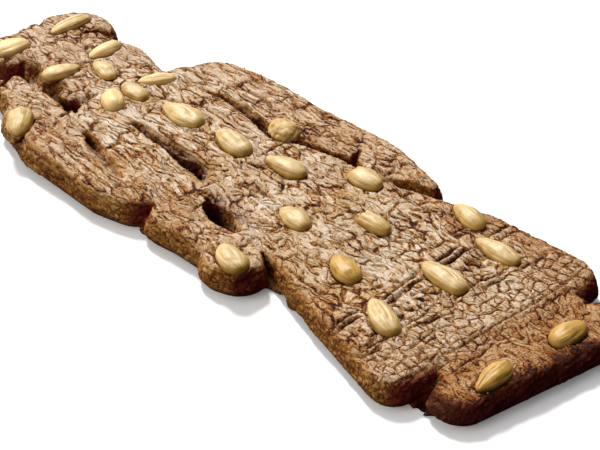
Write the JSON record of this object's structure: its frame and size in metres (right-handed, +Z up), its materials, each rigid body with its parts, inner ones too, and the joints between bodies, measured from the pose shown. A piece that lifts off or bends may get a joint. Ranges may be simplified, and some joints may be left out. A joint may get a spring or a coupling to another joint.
{
  "type": "almond-studded spiced biscuit doll",
  "caption": "Flat moulded spiced biscuit shaped as a robed figure with hat and plinth, pierced at one elbow, with whole blanched almonds pressed into the top.",
  "frame": {"origin": "middle of the biscuit's flat underside, on the surface that it lies on", "axes": "+Z up from the table, out of the decorated side; +Y along the figure from the plinth to the hat; X across it"},
  "size_m": [0.1128, 0.3168, 0.0173],
  "materials": {
    "spiced_dough": "baked spiced dough: matte to satin, crackled all over, with darker cracks and edges",
    "blanched_almond": "skinned almond toasted by the oven: satin, faintly ribbed along its length"
  },
  "bodies": {
    "root": {"biscuit": "spiced_dough", "almond_beard_left": "blanched_almond", "almond_beard_middle": "blanched_almond", "almond_beard_right": "blanched_almond", "almond_button_low": "blanched_almond", "almond_button_middle": "blanched_almond", "almond_button_top": "blanched_almond", "almond_cuff_right": "blanched_almond", "almond_eye_left": "blanched_almond", "almond_eye_right": "blanched_almond", "almond_foot_left": "blanched_almond", "almond_foot_right": "blanched_almond", "almond_fringe_left": "blanched_almond", "almond_fringe_middle": "blanched_almond", "almond_fringe_right": "blanched_almond", "almond_hand_left": "blanched_almond", "almond_hat_left": "blanched_almond", "almond_hat_right": "blanched_almond", "almond_nose": "blanched_almond", "almond_robe_left": "blanched_almond", "almond_robe_low": "blanched_almond", "almond_robe_right": "blanched_almond", "almond_robe_side": "blanched_almond", "almond_shoulder": "blanched_almond", "almond_sleeve_right": "blanched_almond"}
  },
  "joints": []
}
